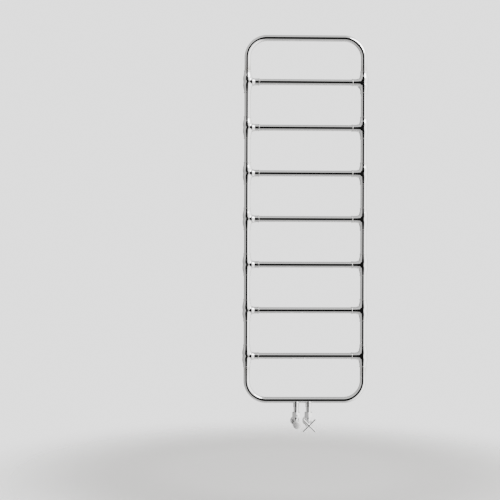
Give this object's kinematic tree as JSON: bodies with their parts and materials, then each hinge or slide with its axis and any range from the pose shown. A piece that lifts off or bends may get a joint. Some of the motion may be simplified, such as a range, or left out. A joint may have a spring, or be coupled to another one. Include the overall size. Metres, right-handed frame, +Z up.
{
  "type": "towel warmer rack",
  "caption": "Wall-hung hydronic towel rail: chromed round-tube frame with crossbars in turned tees, a pair of angle valves below, one with a cross handle and one capped.",
  "frame": {"origin": "centre of the four wall fixings, on the wall", "axes": "+Z up, +X to the right seen from the room, +Y into the wall; the rail's front faces -Y"},
  "size_m": [0.5116, 0.1462, 1.6096],
  "materials": {
    "chrome_tube": "polished chrome plate on brass tube",
    "chrome_fitting": "polished chrome plate on turned and cast brass",
    "bare_brass": "machined",
    "steel_screw": "machined",
    "rubber_seal": "moulded",
    "fibre_washer": "pressed fibre"
  },
  "bodies": {
    "rail": {"top_bow": "chrome_tube", "bottom_bow": "chrome_tube", "upright_left_tubes": "chrome_tube", "upright_right_tubes": "chrome_tube", "crossbar_1": "chrome_tube", "crossbar_2": "chrome_tube", "crossbar_3": "chrome_tube", "crossbar_4": "chrome_tube", "crossbar_5": "chrome_tube", "crossbar_6": "chrome_tube", "crossbar_7": "chrome_tube", "tee_left_1": "chrome_fitting", "tee_left_2": "chrome_fitting", "tee_left_3": "chrome_fitting", "tee_left_4": "chrome_fitting", "tee_left_5": "chrome_fitting", "tee_left_6": "chrome_fitting", "tee_left_7": "chrome_fitting", "tee_right_1": "chrome_fitting", "tee_right_2": "chrome_fitting", "tee_right_3": "chrome_fitting", "tee_right_4": "chrome_fitting", "tee_right_5": "chrome_fitting", "tee_right_6": "chrome_fitting", "tee_right_7": "chrome_fitting", "flow_diverter": "bare_brass", "tail_sockets": "chrome_fitting", "air_vent_body": "chrome_fitting", "wall_plates": "chrome_fitting", "wall_posts": "chrome_fitting", "wall_grub_screws": "steel_screw", "manual_tail": "chrome_fitting", "manual_union_nut": "chrome_fitting", "manual_body": "chrome_fitting", "manual_bonnet": "chrome_fitting", "manual_compression_nut": "chrome_fitting", "lockshield_tail": "chrome_fitting", "lockshield_union_nut": "chrome_fitting", "lockshield_body": "chrome_fitting", "lockshield_bonnet": "chrome_fitting", "lockshield_compression_nut": "chrome_fitting", "valve_seats": "bare_brass", "union_seals": "fibre_washer", "compression_olives": "bare_brass", "pipe_sleeve_left": "chrome_fitting", "pipe_sleeve_right": "chrome_fitting", "rose_left": "chrome_fitting", "rose_right": "chrome_fitting"},
    "valve_handle": {"cross_handle": "chrome_fitting", "handle_grub_screw": "steel_screw", "manual_spindle": "bare_brass", "manual_spindle_seal": "rubber_seal"},
    "manual_plunger": {"manual_jumper": "bare_brass", "manual_washer": "rubber_seal"},
    "lockshield_cover": {"lockshield_cap": "chrome_fitting"},
    "lockshield_stem": {"lockshield_spindle": "bare_brass", "lockshield_spindle_seal": "rubber_seal"},
    "lockshield_plunger": {"lockshield_jumper": "bare_brass", "lockshield_washer": "rubber_seal"},
    "vent_screw": {"air_vent_screw": "bare_brass"}
  },
  "joints": [
    {"name": "handle_turn", "type": "hinge", "parent": "rail", "child": "valve_handle", "pos_m": [0.015, -0.085, -0.8335], "axis": [0, -1, 0], "range_deg": [0, 1080]},
    {"name": "manual_plunger_travel", "type": "slide", "parent": "rail", "child": "manual_plunger", "axis": [0, -1, 0], "range_m": [0, 0.0045]},
    {"name": "lockshield_cap_pull", "type": "slide", "parent": "rail", "child": "lockshield_cover", "axis": [0, -1, 0], "range_m": [0, 0.04]},
    {"name": "lockshield_turn", "type": "hinge", "parent": "rail", "child": "lockshield_stem", "pos_m": [-0.035, -0.085, -0.8335], "axis": [0, -1, 0], "range_deg": [0, 1080]},
    {"name": "lockshield_plunger_travel", "type": "slide", "parent": "rail", "child": "lockshield_plunger", "axis": [0, -1, 0], "range_m": [0, 0.0045]},
    {"name": "vent_screw_turn", "type": "hinge", "parent": "rail", "child": "vent_screw", "pos_m": [0.12, -0.0675, 0.7375], "axis": [0, 1, 0], "range_deg": [0, 540]}
  ],
  "couplings": [
    {"joint": "manual_plunger_travel", "follows": "handle_turn", "m_per_rad": 0.00023873},
    {"joint": "lockshield_turn", "follows": "lockshield_plunger_travel", "rad_per_m": 4188.8}
  ]
}
